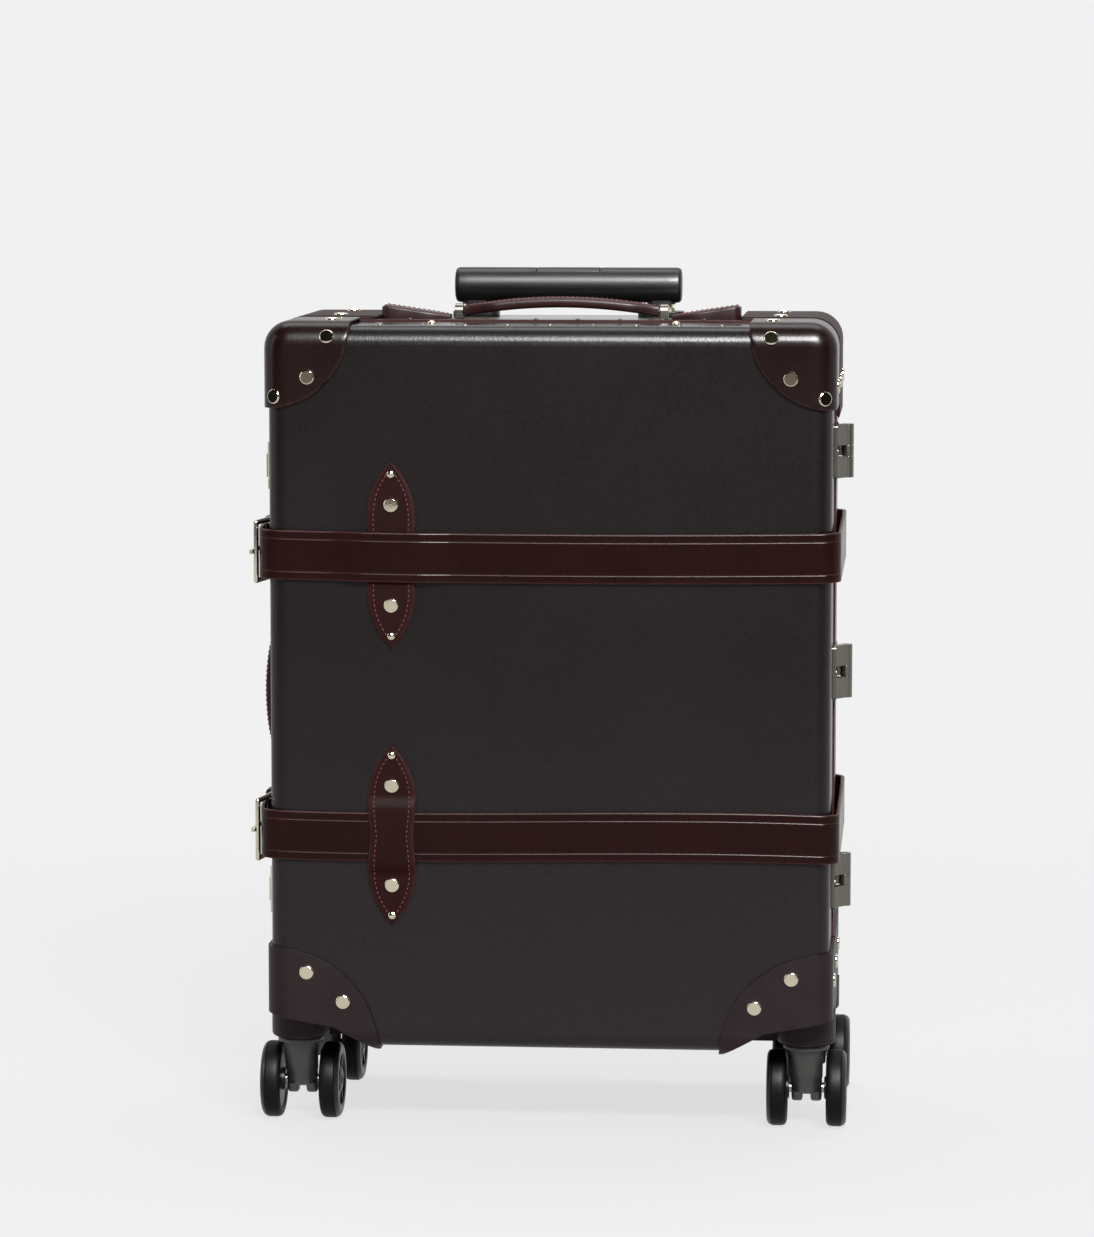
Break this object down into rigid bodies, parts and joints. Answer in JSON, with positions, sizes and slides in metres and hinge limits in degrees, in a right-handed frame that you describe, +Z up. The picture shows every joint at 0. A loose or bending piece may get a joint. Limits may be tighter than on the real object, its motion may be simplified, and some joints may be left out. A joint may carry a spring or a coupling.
{
  "type": "wheeled suitcase",
  "caption": "Carry-on suitcase of dark fibreboard with leather corners and buckled straps, a telescopic trolley handle and swivelling casters; the front half opens on side hinges.",
  "frame": {"origin": "on the floor, under the centre of the case", "axes": "+Z up, the lid faces -Y, the hinges are on +X and the buckles on -X"},
  "size_m": [0.4032, 0.2116, 0.5766],
  "materials": {
    "fibreboard": "pressed vulcanised fibre, satin",
    "seam_rim": "maroon, satin",
    "frame_wood": "oiled",
    "lining": "woven",
    "leather": "oxblood, polished",
    "housing": "plum, moulded",
    "nickel": "nickel plated",
    "tube": "anodised",
    "black_plastic": "moulded",
    "grip_leather": "fine grain, black",
    "steel": "turned",
    "wheel_rubber": "matt black"
  },
  "bodies": {
    "base": {"base_shell": "fibreboard", "base_rim": "seam_rim", "base_lining": "lining", "base_corner_left": "leather", "base_corner_right": "leather", "base_wheel_housing_left": "housing", "base_wheel_housing_right": "housing", "base_rivets": "nickel", "base_hinge_leaves": "nickel", "hinge_pins": "nickel", "rear_keepers": "leather", "straps_rear": "leather", "strap_loops": "leather", "buckle_frames": "nickel", "lock_bodies": "nickel", "trolley_outer_tubes": "tube", "trolley_bezel": "black_plastic", "trolley_bracket": "black_plastic", "top_handle_posts": "nickel", "top_handle_tabs": "leather", "side_handle_posts": "nickel", "side_handle_tabs": "leather"},
    "lid": {"lid_shell": "fibreboard", "lid_frame": "frame_wood", "lid_lining": "lining", "lid_corner_left": "leather", "lid_corner_right": "leather", "lid_wheel_housing_left": "housing", "lid_wheel_housing_right": "housing", "lid_rivets": "nickel", "lid_hinge_leaves": "nickel", "keeper_upper": "leather", "keeper_lower": "leather", "strap_front_upper": "leather", "strap_front_lower": "leather", "hasp_mounts": "nickel"},
    "trolley_middle": {"trolley_middle_tubes": "tube"},
    "trolley_grip": {"trolley_inner_tubes": "tube", "grip_core": "black_plastic", "grip_sleeves": "grip_leather"},
    "grip_button": {"grip_button": "black_plastic"},
    "top_handle": {"top_handle": "leather"},
    "side_handle": {"side_handle": "leather"},
    "hasp_upper": {"hasp_upper": "nickel"},
    "hasp_lower": {"hasp_lower": "nickel"},
    "prong_upper": {"prong_upper": "nickel"},
    "prong_lower": {"prong_lower": "nickel"},
    "fork_front_left": {"fork_front_left": "black_plastic"},
    "wheels_front_left": {"axle_front_left": "steel", "wheels_front_left": "wheel_rubber"},
    "fork_front_right": {"fork_front_right": "black_plastic"},
    "wheels_front_right": {"axle_front_right": "steel", "wheels_front_right": "wheel_rubber"},
    "fork_rear_left": {"fork_rear_left": "black_plastic"},
    "wheels_rear_left": {"axle_rear_left": "steel", "wheels_rear_left": "wheel_rubber"},
    "fork_rear_right": {"fork_rear_right": "black_plastic"},
    "wheels_rear_right": {"axle_rear_right": "steel", "wheels_rear_right": "wheel_rubber"}
  },
  "joints": [
    {"name": "lid_hinge", "type": "hinge", "parent": "base", "child": "lid", "pos_m": [0.1965, -0.03, 0.3], "axis": [0, 0, 1], "range_deg": [0, 170]},
    {"name": "trolley_middle_slide", "type": "slide", "parent": "base", "child": "trolley_middle", "axis": [0, 0, 1], "range_m": [0, 0.21]},
    {"name": "trolley_inner_slide", "type": "slide", "parent": "trolley_middle", "child": "trolley_grip", "axis": [0, 0, 1], "range_m": [0, 0.21]},
    {"name": "grip_button_press", "type": "slide", "parent": "trolley_grip", "child": "grip_button", "axis": [0, 0, -1], "range_m": [0, 0.003], "stiffness_N_per_m": 400, "springref_m": -0.002},
    {"name": "top_handle_tilt", "type": "hinge", "parent": "base", "child": "top_handle", "pos_m": [0, 0.014, 0.5486], "axis": [1, 0, 0], "range_deg": [-25, 25]},
    {"name": "side_handle_tilt", "type": "hinge", "parent": "base", "child": "side_handle", "pos_m": [-0.1931, 0.002, 0.288], "axis": [0, 0, 1], "range_deg": [-25, 25]},
    {"name": "hasp_upper_flap", "type": "hinge", "parent": "lid", "child": "hasp_upper", "pos_m": [-0.1925, -0.043, 0.446], "axis": [0, 0, 1], "range_deg": [0, 95]},
    {"name": "hasp_lower_flap", "type": "hinge", "parent": "lid", "child": "hasp_lower", "pos_m": [-0.1925, -0.043, 0.156], "axis": [0, 0, 1], "range_deg": [0, 95]},
    {"name": "prong_upper_pivot", "type": "hinge", "parent": "base", "child": "prong_upper", "pos_m": [-0.1919, -0.05, 0.391], "axis": [0, 0, -1], "range_deg": [0, 95]},
    {"name": "prong_lower_pivot", "type": "hinge", "parent": "base", "child": "prong_lower", "pos_m": [-0.1919, -0.05, 0.203], "axis": [0, 0, -1], "range_deg": [0, 95]},
    {"name": "swivel_front_left", "type": "hinge", "parent": "lid", "child": "fork_front_left", "pos_m": [-0.172, -0.062, 0.06], "axis": [0, 0, 1], "continuous": true},
    {"name": "roll_front_left", "type": "hinge", "parent": "fork_front_left", "child": "wheels_front_left", "pos_m": [-0.172, -0.051, 0.026], "axis": [1, 0, 0], "continuous": true},
    {"name": "swivel_front_right", "type": "hinge", "parent": "lid", "child": "fork_front_right", "pos_m": [0.172, -0.062, 0.06], "axis": [0, 0, 1], "continuous": true},
    {"name": "roll_front_right", "type": "hinge", "parent": "fork_front_right", "child": "wheels_front_right", "pos_m": [0.172, -0.051, 0.026], "axis": [1, 0, 0], "continuous": true},
    {"name": "swivel_rear_left", "type": "hinge", "parent": "base", "child": "fork_rear_left", "pos_m": [-0.172, 0.062, 0.06], "axis": [0, 0, 1], "continuous": true},
    {"name": "roll_rear_left", "type": "hinge", "parent": "fork_rear_left", "child": "wheels_rear_left", "pos_m": [-0.172, 0.073, 0.026], "axis": [1, 0, 0], "continuous": true},
    {"name": "swivel_rear_right", "type": "hinge", "parent": "base", "child": "fork_rear_right", "pos_m": [0.172, 0.062, 0.06], "axis": [0, 0, 1], "continuous": true},
    {"name": "roll_rear_right", "type": "hinge", "parent": "fork_rear_right", "child": "wheels_rear_right", "pos_m": [0.172, 0.073, 0.026], "axis": [1, 0, 0], "continuous": true}
  ]
}
